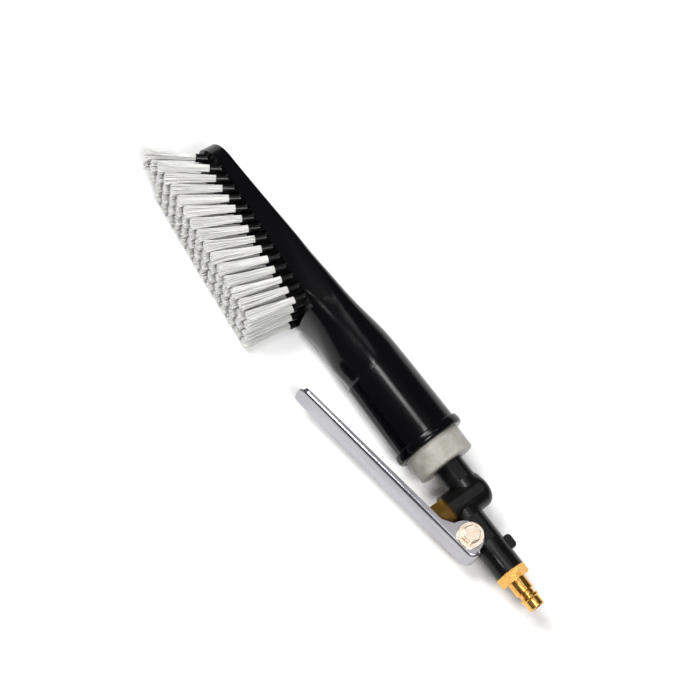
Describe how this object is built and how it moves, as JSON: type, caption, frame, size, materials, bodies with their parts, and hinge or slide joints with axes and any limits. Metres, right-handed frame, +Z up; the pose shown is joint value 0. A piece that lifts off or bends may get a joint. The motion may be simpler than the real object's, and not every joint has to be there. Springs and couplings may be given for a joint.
{
  "type": "handheld bath sprayer",
  "caption": "Water-fed hand brush with leaning bristle tufts, hollow round handle, squeeze-lever valve and quick-coupling hose plug.",
  "frame": {"origin": "on the hose plug's axis, where its nose meets the locking ridge", "axes": "+X along the handle towards the hose plug, +Y out of the brush's back (bristles and lever on -Y), +Z up with the brush lying on its side"},
  "size_m": [0.3664, 0.075, 0.049],
  "materials": {
    "gloss_black": "gloss",
    "block_black": "satin",
    "rubber_black": "matt",
    "bristle": "satin",
    "bush_grey": "satin",
    "valve_black": "grained",
    "brass": "turned",
    "stainless": "satin",
    "lever_zinc": "bright zinc",
    "yellow_zinc": "yellow zinc",
    "fibre": "matt"
  },
  "bodies": {
    "brush": {"brush_body": "gloss_black", "bristle_block": "block_black", "block_seal": "rubber_black", "tufts_row_1": "bristle", "tufts_row_2": "bristle", "tufts_row_3": "bristle", "tufts_row_4": "bristle", "tufts_corner": "bristle", "handle_bush": "bush_grey", "bush_seal": "rubber_black", "stem_seal": "rubber_black", "valve_body": "valve_black", "pivot_sleeve": "brass", "seat_ring": "brass", "return_spring": "stainless", "gland_nut": "brass", "gland_seal": "rubber_black", "gland_washer": "brass", "pivot_bolt": "yellow_zinc", "pivot_washers": "yellow_zinc", "lock_nut": "yellow_zinc", "plug_washer": "fibre", "hose_plug": "brass"},
    "lever": {"lever": "lever_zinc"},
    "pin": {"push_pin": "stainless", "poppet": "brass", "poppet_seal": "rubber_black"}
  },
  "joints": [
    {"name": "lever_pivot", "type": "hinge", "parent": "brush", "child": "lever", "pos_m": [-0.051, -0.0098, 0], "axis": [0, 0, -1], "range_deg": [0, 8], "stiffness_Nm_per_rad": 1.5, "springref_deg": -11.46},
    {"name": "pin_slide", "type": "slide", "parent": "brush", "child": "pin", "axis": [0, 1, 0], "range_m": [0, 0.0031], "deforming": ["return_spring"]}
  ],
  "couplings": [
    {"joint": "pin_slide", "follows": "lever_pivot", "m_per_rad": 0.0216}
  ]
}
